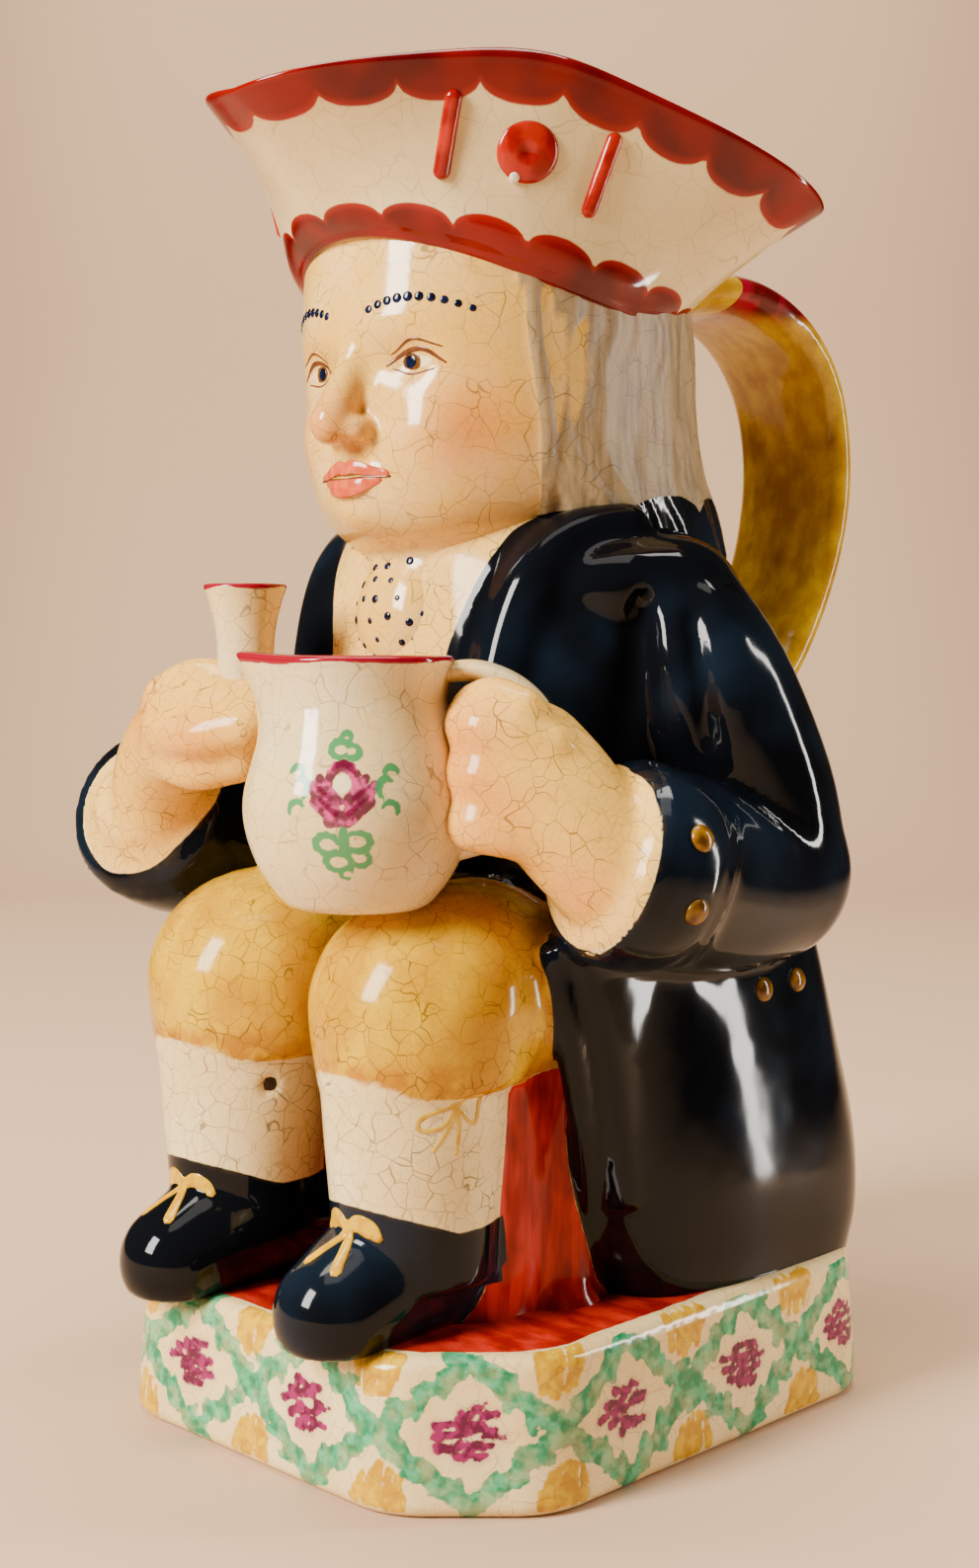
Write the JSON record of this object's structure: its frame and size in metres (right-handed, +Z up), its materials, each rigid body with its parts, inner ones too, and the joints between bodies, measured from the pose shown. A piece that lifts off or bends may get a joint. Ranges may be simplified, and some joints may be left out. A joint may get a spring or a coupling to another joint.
{
  "type": "toby jug",
  "caption": "Glazed earthenware pouring jug shaped as a seated figure in a tricorn hat, with a strap handle, on a chamfered block base.",
  "frame": {"origin": "middle of the base's underside, which the jug stands on", "axes": "+Z up, the figure faces -Y with its left hand on the +X side, and the handle is behind on +Y"},
  "size_m": [0.1468, 0.1669, 0.2375],
  "materials": {
    "glazed_earthenware": "painted under a clear crazed gloss glaze"
  },
  "bodies": {
    "root": {"toby_jug": "glazed_earthenware"}
  },
  "joints": []
}
